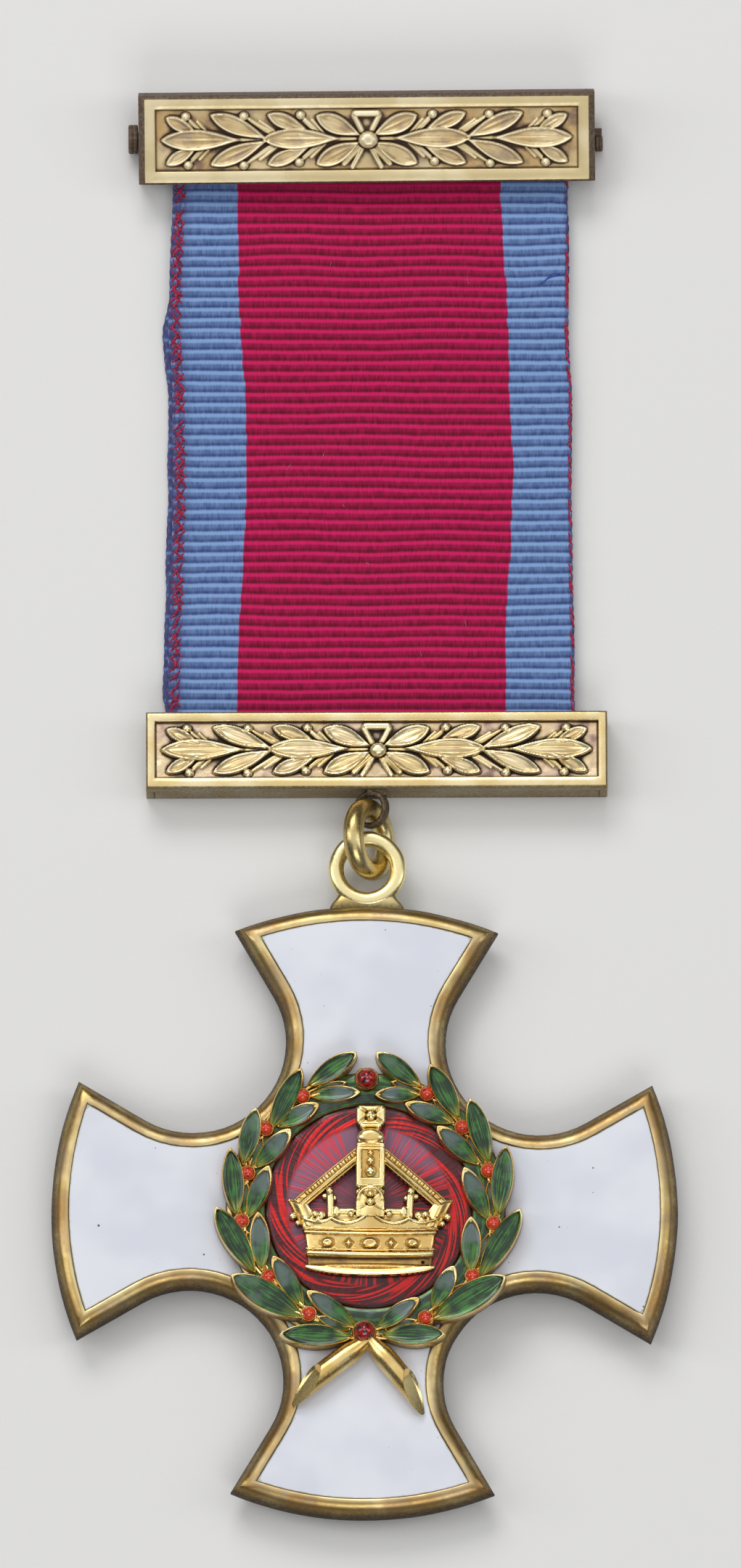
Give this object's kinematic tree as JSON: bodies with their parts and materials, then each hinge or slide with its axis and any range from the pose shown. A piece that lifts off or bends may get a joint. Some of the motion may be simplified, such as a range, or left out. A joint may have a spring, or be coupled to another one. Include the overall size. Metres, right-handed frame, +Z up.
{
  "type": "order insignia",
  "caption": "Breast badge of an order: an enamelled flared cross with a wreathed crown, hung by a ring from a bar on a doubled striped ribbon with a brooch bar.",
  "frame": {"origin": "centre of the bounding box's bottom face, on the surface that the badge lies on", "axes": "+Z up out of the badge's front, +Y from the cross to the top bar, +X to the right seen from the front"},
  "size_m": [0.0426, 0.1, 0.0061],
  "materials": {
    "gilt_top_bar": "pale cast gilding, worn bright on the relief and dull brown in the recesses",
    "gilt_lower_bar": "warm cast gilding, polished borders and darker recesses",
    "gilt_cross": "polished gilding with soft wear on the rim",
    "gilt_medallion": "rich polished gilding",
    "white_enamel": "glossy opaque white enamel with a few dark specks",
    "red_enamel": "glossy translucent red enamel over an engraved sunburst",
    "green_enamel": "glossy translucent green enamel over engraved veins",
    "berry_enamel": "glossy red-orange enamel beads",
    "ribbon_weave": "corded silk, crimson with a blue stripe along each edge"
  },
  "bodies": {
    "root": {"top_bar": "gilt_top_bar", "brooch_pin": "gilt_top_bar", "ribbon": "ribbon_weave", "lower_bar": "gilt_lower_bar", "jump_ring": "gilt_cross", "cross_body": "gilt_cross", "front_enamel_right": "white_enamel", "front_enamel_top": "white_enamel", "front_enamel_left": "white_enamel", "front_enamel_bottom": "white_enamel", "back_enamel_right": "white_enamel", "back_enamel_top": "white_enamel", "back_enamel_left": "white_enamel", "back_enamel_bottom": "white_enamel", "red_disc": "red_enamel", "back_disc": "red_enamel", "wreath": "gilt_medallion", "leaf_enamel": "green_enamel", "wreath_berries": "berry_enamel", "crown": "gilt_medallion"}
  },
  "joints": []
}
